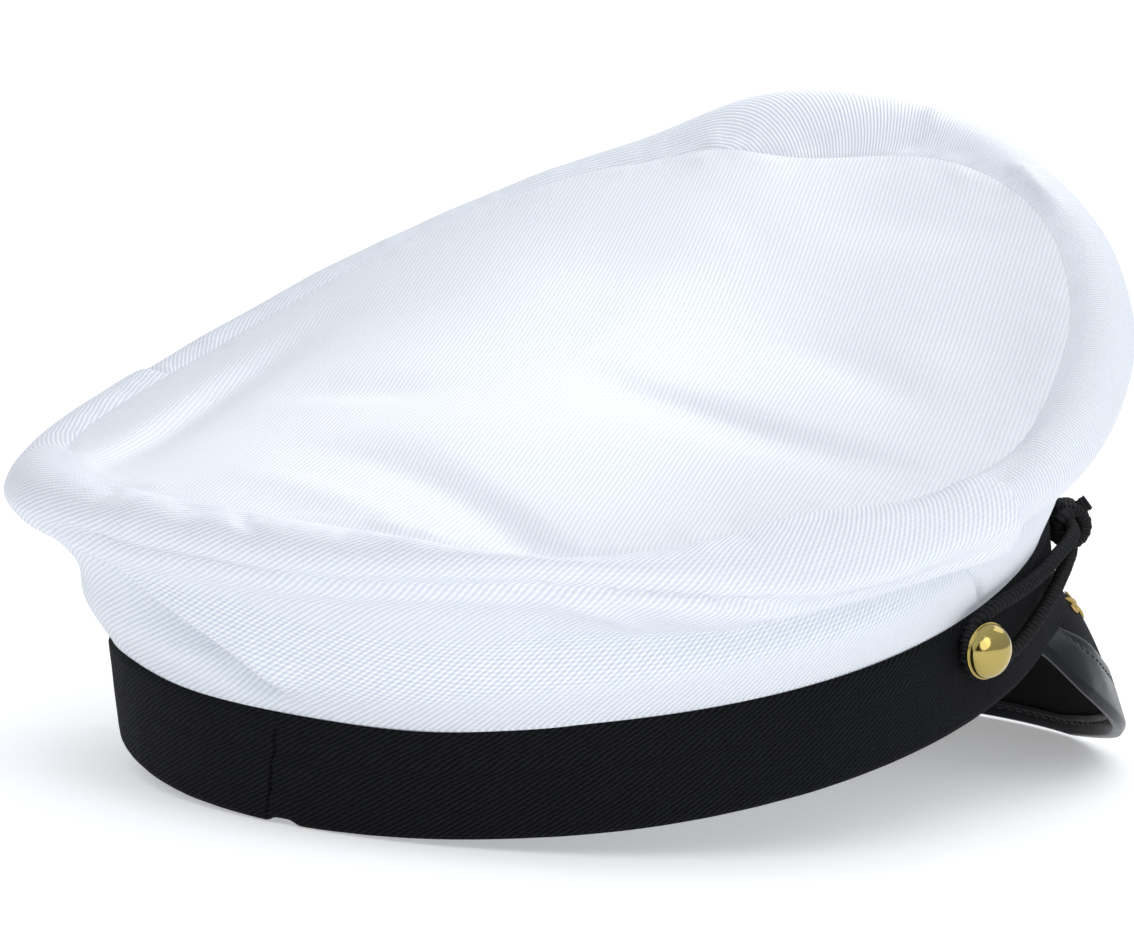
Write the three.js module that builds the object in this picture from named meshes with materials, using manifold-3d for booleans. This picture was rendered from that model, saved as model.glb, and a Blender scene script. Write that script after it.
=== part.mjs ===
// Captain hat: white cloth crown with a rolled rim, black cloth band, black visor with a glossy
// binding and gold leaf sprays, and a black chin cord looped round two gold buttons.
// Millimetres, +Z up. The hat lies on its visor's edge and on the back of its band.
// Inside the hat the frame is the band's: z = 0 is the band's flat lower edge, the visor points
// to -Y, and the angle t runs from the front centre (0) over the wearer's right side (90) to the
// back (180).
import * as THREE from 'three';
import { mergeVertices } from 'three/addons/utils/BufferGeometryUtils.js';
import Module from 'manifold-3d';

// ---------------------------------------------------------------- driving dimensions
const degree = Math.PI / 180;
const gap = 0.3;                       // left wherever two pieces meet
const halfSeam = 0.12 * degree;        // half the gap at a side seam, as an angle
const slopeStep = 1e-3;                // the step slopes are taken over

// The head opening in plan: radius = mean * (1 + oval cos 2t + egg cos 3t + square cos 4t)
const headRing = { mean: 95.2, oval: 0.045, egg: 0.016, square: -0.004 };
const band = { thickness: 2, height: 22.5, frontRise: 1.2, endRise: 1.7 };
// The visor's upper edge pushes the band's lower edge outwards across the front.
const flare = { size: 2.6, height: 12, fade: 1.5, fullAngle: 48, endAngle: 62 };
const cloth = {
  thickness: 1.5, sideSeam: 94, seamLean: 9.5, leanShare: 0.35,
  foot: -0.7, slack: 3.6, slackHeight: 9, waist: 4.4, waistHeight: 17,
};

// The rolled rim: how far its edge stands out from the band, the edge's height, and half the
// roll's thickness, at equal steps round the hat.
const rimRows = [
  { at: 0,   out: 16.5, edge: 84, roll: 7.0 },
  { at: 30,  out: 18.0, edge: 73, roll: 6.8 },
  { at: 60,  out: 20.5, edge: 58, roll: 6.2 },
  { at: 90,  out: 21.0, edge: 48, roll: 5.8 },
  { at: 120, out: 18.5, edge: 47, roll: 5.4 },
  { at: 150, out: 15.5, edge: 55, roll: 5.2 },
  { at: 180, out: 14.0, edge: 57, roll: 5.2 },
  { at: 210, out: 15.5, edge: 56, roll: 5.4 },
  { at: 240, out: 18.5, edge: 48, roll: 5.8 },
  { at: 270, out: 21.0, edge: 48, roll: 6.0 },
  { at: 300, out: 20.5, edge: 58, roll: 6.4 },
  { at: 330, out: 18.0, edge: 72, roll: 6.8 },
];
// Short rises and dips of the rim between those steps, with their half width in degrees.
const rimWaves = [
  { at: 345, width: 9,  rise: 2.4 },
  { at: 3,   width: 9,  rise: -0.8 },
  { at: 150, width: 12, rise: 1.2 },
  { at: 122, width: 10, rise: -1.2 },
];
// The roll's section from its underside round its edge, measured from the edge in shares of half
// its thickness.
const rollRows = [
  { out: -1.30, rise: -1.50 },
  { out: -0.45, rise: -0.85 },
  { out: 0,     rise: 0 },
  { out: -0.45, rise: 0.80 },
  { out: -1.20, rise: 1.10 },
];
// The seam of the top panel lies inside the roll's edge. Its gap is measured along the cloth, and
// its unevenness fades inward with the power given.
const topSeam = { inset: 12.5, gap: 0.8, fade: 8 };

const visor = {
  halfAngle: 64.3, reach: 25.2, drop: 54, sideShare: 0.8, bulge: 3.6, bulgeSkew: 0.7,
  thickness: 1.4, restTilt: 13.1, bindingTilt: 0.2,
};
const binding = {
  topWidth: 12.5, underWidth: 6.2, wall: 0.8, slot: 0.4, fold: 1.1, nose: 1.2, clear: 1.4,
  endAngle: 61,
};
const spray = {
  from: 5, to: 46, rootShare: 0.46, tipShare: 0.16, rootPhase: 0.1, tipPhase: 0.96,
  halfWidth: 5, neck: 0.35, leaves: 5, thickness: 0.8,
};
const button = {
  at: 90, height: 15, radius: 5.6, rim: 0.7, dome: 4.8, shank: 1.0, standOff: 4.0,
  arcSteps: 6, sides: 24,
};
const cord = { radius: 1.6, sides: 8, steps: 120 };
const knot = { at: 39, height: 13.0, proud: 4.9, length: 5.6, width: 5.2, depth: 4.6, sides: 16, rings: 10 };

// The cord's route over the right half of the hat, from the front centre along the upper strand,
// round the button's shank and back along the lower strand.
const cordRows = [
  { at: 0,    up: 15.6, proud: 2.1 },
  { at: 14,   up: 15.6, proud: 2.1 },
  { at: 26,   up: 15.5, proud: 2.8 },
  { at: 34,   up: 15.3, proud: 4.3 },
  { at: 43,   up: 15.1, proud: 4.5 },
  { at: 51,   up: 15.2, proud: 3.3 },
  { at: 59,   up: 16.4, proud: 2.2 },
  { at: 68,   up: 17.8, proud: 2.1 },
  { at: 77,   up: 19.0, proud: 2.1 },
  { at: 86,   up: 19.8, proud: 2.0 },
  { at: 89.6, up: 19.2, proud: 2.0 },
  { at: 91.7, up: 17.4, proud: 2.0 },
  { at: 92.2, up: 14.6, proud: 2.0 },
  { at: 91.2, up: 11.8, proud: 2.0 },
  { at: 87.4, up: 10.0, proud: 2.0 },
  { at: 79,   up: 9.9,  proud: 2.1 },
  { at: 71,   up: 11.4, proud: 2.1 },
  { at: 63,   up: 12.1, proud: 2.1 },
  { at: 56,   up: 11.6, proud: 2.1 },
  { at: 50,   up: 11.2, proud: 2.6 },
  { at: 43,   up: 10.9, proud: 3.9 },
  { at: 34,   up: 11.1, proud: 4.0 },
  { at: 26,   up: 11.4, proud: 2.8 },
  { at: 14,   up: 11.4, proud: 2.1 },
  { at: 0,    up: 11.4, proud: 2.1 },
];

// ---------------------------------------------------------------- materials
const whiteTwill = new THREE.MeshStandardMaterial({ color: 0xf4f6fa, roughness: 0.8, metalness: 0 });
const blackTwill = new THREE.MeshStandardMaterial({ color: 0x161617, roughness: 0.85, metalness: 0 });
const blackFelt = new THREE.MeshStandardMaterial({ color: 0x131314, roughness: 0.95, metalness: 0 });
const blackVinyl = new THREE.MeshStandardMaterial({ color: 0x1b1d1f, roughness: 0.25, metalness: 0 });
const blackBraid = new THREE.MeshStandardMaterial({ color: 0x141414, roughness: 0.8, metalness: 0 });
const goldMetal = new THREE.MeshStandardMaterial({ color: 0xc9a23c, roughness: 0.2, metalness: 1 });
const goldThread = new THREE.MeshStandardMaterial({ color: 0xc2ad62, roughness: 0.5, metalness: 0.6 });

// ---------------------------------------------------------------- places on the hat
function bandRadius(t) {
  const { mean, oval, egg, square } = headRing;
  return mean * (1 + oval * Math.cos(2 * t) + egg * Math.cos(3 * t) + square * Math.cos(4 * t));
}

function bandTop(t) {
  return band.height + band.frontRise * Math.cos(t) + band.endRise * Math.cos(2 * t);
}

// A point at the angle t, a distance out from the band's outer face, at a height.
function place(t, out, height) {
  const radius = bandRadius(t) + out;
  return new THREE.Vector3(-radius * Math.sin(t), -radius * Math.cos(t), height);
}

// Outward direction at the angle t, square to the band.
function outwardAt(t) {
  const along = place(t + slopeStep, 0, 0).sub(place(t - slopeStep, 0, 0));
  return new THREE.Vector3(0, 0, 1).cross(along).normalize();
}

// A smooth bump at a row's angle: 1 in its middle, fading over its width.
function bump(t, { at, width }) {
  const away = Math.abs(((t / degree - at) % 360 + 540) % 360 - 180);
  return Math.exp(-((away / width) ** 2));
}

// ---------------------------------------------------------------- walls
// A closed wall of even thickness under the surface skin(u, v), u running round the hat and v up
// and over it. A closed wall joins up with itself in u, a domed one meets in a point at v = 1, and
// an upright one is thickened level, so that its edges stay flat.
function wall(skin, { columns, rows, thickness, closed = false, domed = false, upright = false }) {
  const positions = [];
  const count = closed ? columns : columns + 1;
  for (const depth of [0, thickness]) {
    for (let i = 0; i < count; i += 1) {
      for (let j = 0; j <= rows; j += 1) {
        const u = i / columns;
        const v = j / rows;
        const along = skin(u, Math.min(v + slopeStep, 1)).sub(skin(u, Math.max(v - slopeStep, 0)));
        const around = skin(closed ? u + slopeStep : Math.min(u + slopeStep, 1), v)
          .sub(skin(closed ? u - slopeStep : Math.max(u - slopeStep, 0), v));
        const outward = along.cross(around).normalize();
        if (upright) outward.setZ(0).normalize();
        if (domed && j === rows) outward.set(0, 0, 1);
        const point = skin(u, v).addScaledVector(outward, -depth);
        positions.push(point.x, point.y, point.z);
      }
    }
  }
  const at = (layer, i, j) => {
    const column = domed && j === rows ? 0 : i % count;
    return (layer * count + column) * (rows + 1) + j;
  };
  const index = [];
  const quad = (a, b, c, d) => {
    for (const [p, q, r] of [[a, b, c], [a, c, d]]) {
      if (p !== q && q !== r && r !== p) index.push(p, q, r);
    }
  };
  for (let i = 0; i < columns; i += 1) {
    const next = i + 1;
    for (let j = 0; j < rows; j += 1) {
      quad(at(0, i, j), at(0, i, j + 1), at(0, next, j + 1), at(0, next, j));
      quad(at(1, i, j), at(1, next, j), at(1, next, j + 1), at(1, i, j + 1));
    }
    quad(at(0, i, 0), at(0, next, 0), at(1, next, 0), at(1, i, 0));
    if (!domed) quad(at(0, i, rows), at(1, i, rows), at(1, next, rows), at(0, next, rows));
  }
  if (!closed) {
    for (let j = 0; j < rows; j += 1) {
      quad(at(0, 0, j), at(1, 0, j), at(1, 0, j + 1), at(0, 0, j + 1));
      quad(at(0, columns, j), at(0, columns, j + 1), at(1, columns, j + 1), at(1, columns, j));
    }
  }
  const geometry = new THREE.BufferGeometry();
  geometry.setAttribute('position', new THREE.Float32BufferAttribute(positions, 3));
  geometry.setIndex(index);
  return geometry;
}

// ---------------------------------------------------------------- crown
const rimCurve = new THREE.CatmullRomCurve3(
  rimRows.map((row) => new THREE.Vector3(row.out, row.edge, row.roll)), true, 'catmullrom', 0.5);

// The side's section at the angle t, from the band's top edge over the slack cloth, under and
// round the roll to the top seam. Each point is (distance out from the band, height).
function sideSection(t) {
  const turn = t / (2 * Math.PI);
  const rim = rimCurve.getPoint(turn - Math.floor(turn));
  const [out, roll] = [rim.x, rim.z];
  const edge = rimWaves.reduce((height, wave) => height + wave.rise * bump(t, wave), rim.y);
  const foot = bandTop(t) + gap;
  const waist = foot + cloth.waistHeight;
  const round = rollRows.map((row) => [out + row.out * roll, edge + row.rise * roll]);
  round[0][1] = Math.max(round[0][1], waist + 1);
  const points = [
    [cloth.foot, foot],
    [cloth.slack, foot + cloth.slackHeight],
    [cloth.waist, Math.min(waist, round[0][1] - 2)],
    ...round,
    [out - topSeam.inset, edge + roll],
  ];
  return new THREE.CatmullRomCurve3(points.map(([x, y]) => new THREE.Vector3(x, y, 0)));
}

function sidePoint(t, v) {
  const point = sideSection(t).getPoint(v);
  return place(t, point.x, point.y);
}

// The side seam's angle: it leans forward at its foot, where the cloth is pulled on to the band.
function seamAngle(v) {
  const lean = Math.max(1 - v / cloth.leanShare, 0);
  return (cloth.sideSeam - cloth.seamLean * lean) * degree;
}

// One side panel, from seam to seam: turn = 0 is the front panel and turn = pi the rear one.
function crownSide(turn, columns) {
  const skin = (u, v) => {
    const half = Math.abs(seamAngle(v) - turn) - halfSeam;
    return sidePoint(turn + (2 * u - 1) * half, v);
  };
  return wall(skin, { columns, rows: 16, thickness: cloth.thickness });
}

// A taut cloth over an uneven ring: every wave of the ring's height fades inward as the radius
// to the power of the wave's count.
const ringWaves = Array.from({ length: 7 }, (_, n) => {
  const samples = 72;
  const share = (n === 0 ? 1 : 2) / samples;
  const wave = { cosine: 0, sine: 0 };
  for (let k = 0; k < samples; k += 1) {
    const t = (k / samples) * 2 * Math.PI;
    const height = sidePoint(t, 1).z;
    wave.cosine += share * height * Math.cos(n * t);
    wave.sine += share * height * Math.sin(n * t);
  }
  return wave;
});

function filmHeight(t, share) {
  return ringWaves.reduce((sum, wave, n) => sum
    + (wave.cosine * Math.cos(n * t) + wave.sine * Math.sin(n * t)) * share ** n, 0);
}

function crownTop() {
  const skin = (u, v) => {
    const t = u * 2 * Math.PI;
    const rim = sidePoint(t, 1);
    const share = 1 - v;
    const reach = (Math.hypot(rim.x, rim.y) - topSeam.gap) * share;
    const uneven = (rim.z - filmHeight(t, 1)) * share ** topSeam.fade;
    return new THREE.Vector3(-reach * Math.sin(t), -reach * Math.cos(t), filmHeight(t, share) + uneven);
  };
  return wall(skin, { columns: 72, rows: 6, thickness: cloth.thickness, closed: true, domed: true });
}

// ---------------------------------------------------------------- band
// How far the band's lower edge stands out at the angle t: all of the flare across the visor's
// middle, fading to nothing at its ends.
function flareAt(t) {
  return flare.size * (1 - THREE.MathUtils.smoothstep(Math.abs(t) / degree, flare.fullAngle, flare.endAngle));
}

function bandWall() {
  const skin = (u, v) => {
    const t = (u - Math.round(u)) * 2 * Math.PI;
    const height = v * bandTop(t);
    const out = flareAt(t) * Math.max(1 - height / flare.height, 0) ** flare.fade;
    return place(t, out, height);
  };
  return wall(skin, { columns: 72, rows: 4, thickness: band.thickness, closed: true, upright: true });
}

// ---------------------------------------------------------------- visor
const rearFoot = bandRadius(Math.PI);
const restSlope = Math.tan(visor.restTilt * degree);

// How far the visor's edge stands out and hangs down at the angle t. In the middle the edge is
// flattened where the hat lies on it.
function visorEdge(t) {
  const share = Math.max(1 - (t / (visor.halfAngle * degree)) ** 2, 0);
  const forward = visor.reach * share;
  const restDrop = restSlope * (rearFoot + (bandRadius(t) + forward) * Math.cos(t));
  return { forward, drop: Math.min(visor.drop * share, restDrop) };
}

function visorLength(t) {
  const { forward, drop } = visorEdge(t);
  return Math.hypot(forward, drop);
}

// The visor's upper face: v = 0 at the band, v = 1 at the edge.
function visorPoint(t, v) {
  const { forward, drop } = visorEdge(t);
  const bulge = visor.bulge * Math.sin(Math.PI * v ** visor.bulgeSkew) * Math.min(visorLength(t) / visor.drop, 1);
  const out = flareAt(t) * (1 - v) + forward * v + bulge;
  const radius = bandRadius(t);
  return new THREE.Vector3(
    -(radius + visor.sideShare * out) * Math.sin(t),
    -(radius + out) * Math.cos(t),
    -gap - (drop - gap) * v,
  );
}

// The point a distance out from the visor's upper face, square to it.
function visorOver(t, v, out) {
  const low = Math.max(v - slopeStep, 0);
  const high = Math.min(v + slopeStep, 1);
  const inward = visorPoint(t, low).sub(visorPoint(t, high));
  const around = visorPoint(t + slopeStep, v).sub(visorPoint(t - slopeStep, v));
  return visorPoint(t, v).addScaledVector(inward.cross(around).normalize(), out);
}

// How squarely the lines of one t cross the visor's edge: 1 at a right angle.
function edgeSquareness(t) {
  const across = visorPoint(t, 1).sub(visorPoint(t, 0)).normalize();
  const along = visorPoint(t + slopeStep, 1).sub(visorPoint(t - slopeStep, 1)).normalize();
  return across.cross(along).length();
}

function visorSheet() {
  const end = (binding.endAngle - 3) * degree;
  const skin = (u, v) => {
    const t = (2 * u - 1) * end;
    return visorPoint(t, (1 - v) * (1 - (binding.fold + gap) / visorLength(t)));
  };
  return wall(skin, { columns: 28, rows: 6, thickness: visor.thickness });
}

// The binding's channel section round the sheet's edge, as (distance from the edge along the
// sheet, distance out from the sheet's upper face).
function bindingSection(t) {
  const { slot, fold, nose } = binding;
  const top = slot + binding.wall;
  const floor = -visor.thickness - slot;
  const bottom = floor - binding.wall;
  const room = visorLength(t) - binding.clear;
  const above = Math.min(binding.topWidth / edgeSquareness(t), room);
  const below = Math.min(binding.underWidth / edgeSquareness(t), room);
  return [
    [above, slot], [above, top], [above * 2 / 3, top], [above / 3, top],
    [nose, top], [nose / 4, top - nose / 3], [0, (top + bottom) / 2], [nose / 4, bottom + nose / 3], [nose, bottom],
    [below, bottom], [below, floor], [fold, floor], [fold, slot], [above / 3, slot], [above * 2 / 3, slot],
  ];
}

function visorBinding() {
  const columns = 36;
  const end = binding.endAngle * degree;
  const positions = [];
  const index = [];
  const sides = bindingSection(0).length;
  for (let i = 0; i <= columns; i += 1) {
    const t = (2 * (i / columns) - 1) * end;
    for (const [back, out] of bindingSection(t)) {
      const point = visorOver(t, 1 - back / visorLength(t), out);
      positions.push(point.x, point.y, Math.min(point.z, -gap));
    }
  }
  for (let i = 0; i < columns; i += 1) {
    for (let k = 0; k < sides; k += 1) {
      const a = i * sides + k;
      const b = i * sides + ((k + 1) % sides);
      index.push(a, a + sides, b, b, a + sides, b + sides);
    }
  }
  const caps = THREE.ShapeUtils.triangulateShape(
    bindingSection(0).map(([x, y]) => new THREE.Vector2(x, y)), []);
  for (const [a, b, c] of caps) {
    index.push(a, b, c, columns * sides + a, columns * sides + c, columns * sides + b);
  }
  const geometry = new THREE.BufferGeometry();
  geometry.setAttribute('position', new THREE.Float32BufferAttribute(positions, 3));
  geometry.setIndex(index);
  return geometry;
}

// A spray of leaves lying on the visor, from near the front centre towards the side: side = 1 on
// the wearer's right, -1 on the left.
function leafSpray(side) {
  const skin = (u, v) => {
    const along = side > 0 ? u : 1 - u;
    const t = side * THREE.MathUtils.lerp(spray.from, spray.to, along) * degree;
    const leaf = Math.abs(Math.sin(Math.PI * spray.leaves * along));
    const taper = Math.sin(Math.PI * THREE.MathUtils.lerp(spray.rootPhase, spray.tipPhase, along));
    const half = (spray.halfWidth * (spray.neck + (1 - spray.neck) * leaf) * taper) / visorLength(t);
    const middle = THREE.MathUtils.lerp(spray.rootShare, spray.tipShare, along);
    return visorOver(t, middle + half * (1 - 2 * v), gap + spray.thickness);
  };
  return wall(skin, { columns: 25, rows: 2, thickness: spray.thickness });
}

// ---------------------------------------------------------------- buttons and cord
function buttonSolid() {
  const { radius, rim, dome, shank, standOff, arcSteps } = button;
  const profile = [[0, gap], [shank, gap], [shank, standOff], [radius, standOff], [radius, standOff + rim]];
  for (let k = 1; k < arcSteps; k += 1) {
    const a = (k / arcSteps) * Math.PI / 2;
    profile.push([radius * Math.cos(a), standOff + rim + dome * Math.sin(a)]);
  }
  profile.push([0, standOff + rim + dome]);
  return new THREE.LatheGeometry(profile.map(([x, y]) => new THREE.Vector2(x, y)), button.sides);
}

const rightRoute = cordRows.map((row) => place(row.at * degree, row.proud, row.up));
const leftRoute = rightRoute.slice(1, -1).reverse().map((p) => new THREE.Vector3(-p.x, p.y, p.z));
const cordRoute = new THREE.CatmullRomCurve3([...rightRoute, ...leftRoute], true);

function cordTube(radius) {
  return new THREE.TubeGeometry(cordRoute, cord.steps, radius, cord.sides, true);
}

// ---------------------------------------------------------------- booleans
const wasm = await Module();
wasm.setup();

function merged(geometry) {
  const bare = geometry.clone();
  bare.deleteAttribute('normal');
  bare.deleteAttribute('uv');
  return mergeVertices(bare, 1e-4);
}

function solid(geometry) {
  const mesh = merged(geometry);
  return new wasm.Manifold(new wasm.Mesh({
    numProp: 3,
    vertProperties: new Float32Array(mesh.attributes.position.array),
    triVerts: new Uint32Array(mesh.index.array),
  }));
}

function toGeometry(body) {
  const mesh = body.getMesh();
  const geometry = new THREE.BufferGeometry();
  geometry.setAttribute('position', new THREE.BufferAttribute(mesh.vertProperties, 3));
  geometry.setIndex(new THREE.BufferAttribute(mesh.triVerts, 1));
  return geometry;
}

// A sliding knot: a lump on the band that both strands run through.
function knotSolid(side) {
  const t = side * knot.at * degree;
  const lump = new THREE.SphereGeometry(1, knot.sides, knot.rings)
    .scale(knot.length, knot.depth, knot.width)
    .rotateZ(-t);
  const centre = place(t, knot.proud, knot.height);
  lump.translate(centre.x, centre.y, centre.z);
  return toGeometry(solid(lump).subtract(solid(cordTube(cord.radius + gap))));
}

// ---------------------------------------------------------------- assembly
const hat = new THREE.Group();

function add(name, geometry, material) {
  const mesh = new THREE.Mesh(merged(geometry), material);
  mesh.geometry.computeVertexNormals();
  mesh.name = name;
  hat.add(mesh);
  return mesh;
}

add('crown_top', crownTop(), whiteTwill);
add('crown_side_front', crownSide(0, 32), whiteTwill);
add('crown_side_rear', crownSide(Math.PI, 30), whiteTwill);
add('band', bandWall(), blackTwill);
add('visor', visorSheet(), blackFelt);
add('visor_binding', visorBinding(), blackVinyl);
add('chin_cord', cordTube(cord.radius), blackBraid);
for (const [word, side] of [['right', 1], ['left', -1]]) {
  add(`leaf_spray_${word}`, leafSpray(side), goldThread);
  add(`knot_${word}`, knotSolid(side), blackBraid);
  const t = side * button.at * degree;
  const mesh = add(`button_${word}`, buttonSolid(), goldMetal);
  mesh.position.copy(place(t, 0, button.height));
  mesh.rotation.z = Math.atan2(outwardAt(t).y, outwardAt(t).x) - Math.PI / 2;
}

// Lay the hat down: tilt it about X until its visor's binding and the back of its band share one
// plane, then stand the lowest point on z = 0 over the middle of its outline.
hat.rotation.x = -(visor.restTilt + visor.bindingTilt) * degree;
hat.updateMatrixWorld(true);
const bounds = new THREE.Box3().setFromObject(hat, true);
hat.position.set(
  -(bounds.min.x + bounds.max.x) / 2,
  -(bounds.min.y + bounds.max.y) / 2,
  -bounds.min.z,
);

export default hat;
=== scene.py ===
# A captain hat: white twill crown with a rolled rim, black twill band, black felt visor with a
# bound edge and gold embroidery, and a black chin cord held by two brass buttons.
import math

import bmesh
import bpy
from mathutils import Matrix, Vector, noise


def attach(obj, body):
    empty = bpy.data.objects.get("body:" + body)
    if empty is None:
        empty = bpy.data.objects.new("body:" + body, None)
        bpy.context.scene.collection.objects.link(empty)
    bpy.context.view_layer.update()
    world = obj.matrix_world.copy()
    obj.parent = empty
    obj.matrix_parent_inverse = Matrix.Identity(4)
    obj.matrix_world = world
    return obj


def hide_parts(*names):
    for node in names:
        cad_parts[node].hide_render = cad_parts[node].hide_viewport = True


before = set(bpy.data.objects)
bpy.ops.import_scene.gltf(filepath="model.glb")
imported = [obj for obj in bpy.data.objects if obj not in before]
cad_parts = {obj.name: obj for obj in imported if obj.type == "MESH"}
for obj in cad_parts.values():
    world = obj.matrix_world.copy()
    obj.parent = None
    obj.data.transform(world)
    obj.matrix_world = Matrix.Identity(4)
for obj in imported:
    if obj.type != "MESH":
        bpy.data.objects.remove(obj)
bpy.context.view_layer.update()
scene = bpy.context.scene

# ---------------------------------------------------------------- camera
# A long lens on a low stand behind the wearer's right shoulder, looking slightly down on the
# crown. The plain view transform keeps white cloth white.
camera_data = bpy.data.cameras.new("camera")
camera_data.sensor_width = 36
camera_data.lens = 198.55
camera = bpy.data.objects.new("camera", camera_data)
camera.location = (-0.74405, 1.00711, 0.20672)
camera.rotation_euler = [math.radians(angle) for angle in (83.416, -2.700, -142.697)]
scene.collection.objects.link(camera)
scene.camera = camera
scene.view_settings.view_transform = "Standard"


# ---------------------------------------------------------------- floor and light
# A table of white acrylic, lit a little from beneath, in a white tent that is open towards the
# camera, with wide soft lights in front and on the right and a spot on the crown's middle.
floor_half = 12.0
floor_white = "#FAFAFA"
floor_glow = 0.32
tent_top, tent_side = "#F4F7FC", "#D3D8E0"
tent_strength = 0.73
# The opening: its direction from the hat, the dark room seen through it, and the cosines of the
# angles from that direction at which it ends and starts.
opening = {"towards": (-0.598, 0.793, 0.1145), "room": "#232220", "ends": 0.80, "starts": 0.90}
# Where each light stands as seen from the hat, how wide it looks in degrees, and its strength.
soft_lights = {
    "front light": {"stand": (0.0, -0.9, 0.95), "width": 50, "strength": 0.6},
    "right light": {"stand": (-0.78, 0.60, 0.52), "width": 50, "strength": 1.15},
}
# The spot: where it stands, where it points, its cone in degrees, its size in metres, its power.
spot = {
    "stand": (0.03, -0.45, 0.55), "over": (0.002, 0.030, 0.08), "cone": 16, "size": 0.05,
    "watts": 12.5,
}


def colour(code):
    """An sRGB hex colour as linear red, green, blue and alpha."""
    shares = [int(code[k:k + 2], 16) / 255 for k in (1, 3, 5)]
    return [s / 12.92 if s <= 0.04045 else ((s + 0.055) / 1.055) ** 2.4 for s in shares] + [1.0]


def add_node(tree, kind, inputs=(), **settings):
    """A shader node with its settings. An input is a value, or the output that feeds it."""
    node = tree.nodes.new("ShaderNode" + kind)
    for name, value in settings.items():
        setattr(node, name, value)
    for name, value in dict(inputs).items():
        if isinstance(value, bpy.types.NodeSocket):
            tree.links.new(value, node.inputs[name])
        else:
            node.inputs[name].default_value = value
    return node


def new_material(name, sockets):
    """A material whose own shader has these sockets set, with its node tree and that shader."""
    material = bpy.data.materials.new(name)
    material.use_nodes = True
    shader = material.node_tree.nodes["Principled BSDF"]
    for socket, value in sockets.items():
        shader.inputs[socket].default_value = value
    return material, material.node_tree, shader


acrylic, _, _ = new_material("lit white acrylic", {
    "Base Color": colour(floor_white), "Roughness": 0.9, "IOR": 1.45,
    "Emission Color": colour(floor_white), "Emission Strength": floor_glow,
})
bm = bmesh.new()
bmesh.ops.create_grid(bm, x_segments=1, y_segments=1, size=floor_half)
floor_mesh = bpy.data.meshes.new("floor")
bm.to_mesh(floor_mesh)
bm.free()
floor_mesh.materials.append(acrylic)
floor = bpy.data.objects.new("floor", floor_mesh)
scene.collection.objects.link(floor)

tent = bpy.data.worlds.new("white tent")
tent.use_nodes = True
scene.world = tent
sky = tent.node_tree.nodes["Background"]
heading = add_node(tent.node_tree, "TexCoord")
height = add_node(tent.node_tree, "SeparateXYZ", {0: heading.outputs["Generated"]})
shade = add_node(tent.node_tree, "MapRange", {
    "Value": height.outputs["Z"], "From Min": 0.0, "From Max": 0.75,
})
tone = add_node(tent.node_tree, "Mix", {
    "Factor": shade.outputs["Result"], "A": colour(tent_side), "B": colour(tent_top),
}, data_type="RGBA")
facing = add_node(tent.node_tree, "VectorMath", {
    0: heading.outputs["Generated"], 1: opening["towards"],
}, operation="DOT_PRODUCT")
through = add_node(tent.node_tree, "MapRange", {
    "Value": facing.outputs["Value"], "From Min": opening["ends"], "From Max": opening["starts"],
})
opened = add_node(tent.node_tree, "Mix", {
    "Factor": through.outputs["Result"], "A": tone.outputs[2], "B": colour(opening["room"]),
}, data_type="RGBA")
tent.node_tree.links.new(opened.outputs[2], sky.inputs["Color"])
sky.inputs["Strength"].default_value = tent_strength

for name, light in soft_lights.items():
    lamp = bpy.data.lights.new(name, "SUN")
    lamp.energy = light["strength"]
    lamp.angle = math.radians(light["width"])
    stand = bpy.data.objects.new(name, lamp)
    stand.location = light["stand"]
    stand.rotation_euler = Vector(light["stand"]).to_track_quat("Z", "Y").to_euler()
    scene.collection.objects.link(stand)

lamp = bpy.data.lights.new("spot", "SPOT")
lamp.energy = spot["watts"]
lamp.spot_size = math.radians(spot["cone"])
lamp.spot_blend = 1
lamp.shadow_soft_size = spot["size"]
stand = bpy.data.objects.new("spot", lamp)
stand.location = spot["stand"]
stand.rotation_euler = (stand.location - Vector(spot["over"])).to_track_quat("Z", "Y").to_euler()
scene.collection.objects.link(stand)

# ---------------------------------------------------------------- band
# A stiff ring of black cotton twill, folded over its stiffening and joined by hand at the back
# with a few coarse stitches. The visor's upper edge pushes its front outwards.
mm = 0.001
degree = math.pi / 180
band_tilt = 13.3
band_origin = (0, 6.6368, 22.4754)
# The head opening: its mean radius, and how oval, egg-shaped and square it is. Its front is at
# the angle 0 and the wearer's right at 90 degrees.
head_ring = {"mean": 95.2, "oval": 0.045, "egg": 0.016, "square": -0.004}
band = {
    "height": 22.5, "front_rise": 1.2, "end_rise": 1.7, "thickness": 1.8, "edge_round": 0.7,
    "edge_width": 0.6, "millimetres_per_degree": 1.7,
}
# Soft unevenness of the stiffened cloth: how deep, how long its waves are, and its own pattern.
band_waves = [(0.25, 26, 1), (0.1, 7, 2)]
# How the visor pushes the band's lower edge out: how far, up to what height, and from which
# angle to which it dies away.
flare = {"size": 2.6, "height": 12, "fade": 1.5, "full": 48, "end": 62}
# Where the crown's cloth has drawn the band's upper edge down: the angle, half the width in
# degrees, and how far.
band_dips = [(232, 11, 3.1), (208, 9, -0.6), (160, 14, 1.2), (60, 12, 0.6), (300, 16, 0.9)]
# The seam at the back: its angle, how far it leans and wanders, and the groove that it makes,
# which ends below the band's upper edge. The notch is where the folded ends meet at the bottom.
band_seam = {
    "at": 179.8, "lean": 3.6, "wander": 0.4, "wander_size": 2.6, "sewn": 22, "tuck": 0.9,
    "soft": 0.32, "crowding": 0.8, "ends": 2, "full": 5,
}
notch = {"past": 2.2, "width": 1.9, "rise": 1.0}
twill_pitch = 0.96                     # millimetres from one rib of this coarse twill to the next
band_rib_angle = 33

band_place = Matrix.Translation(Vector(band_origin) * mm) @ Matrix.Rotation(
    -band_tilt * degree, 4, "X") @ Matrix.Scale(mm, 4)


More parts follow.
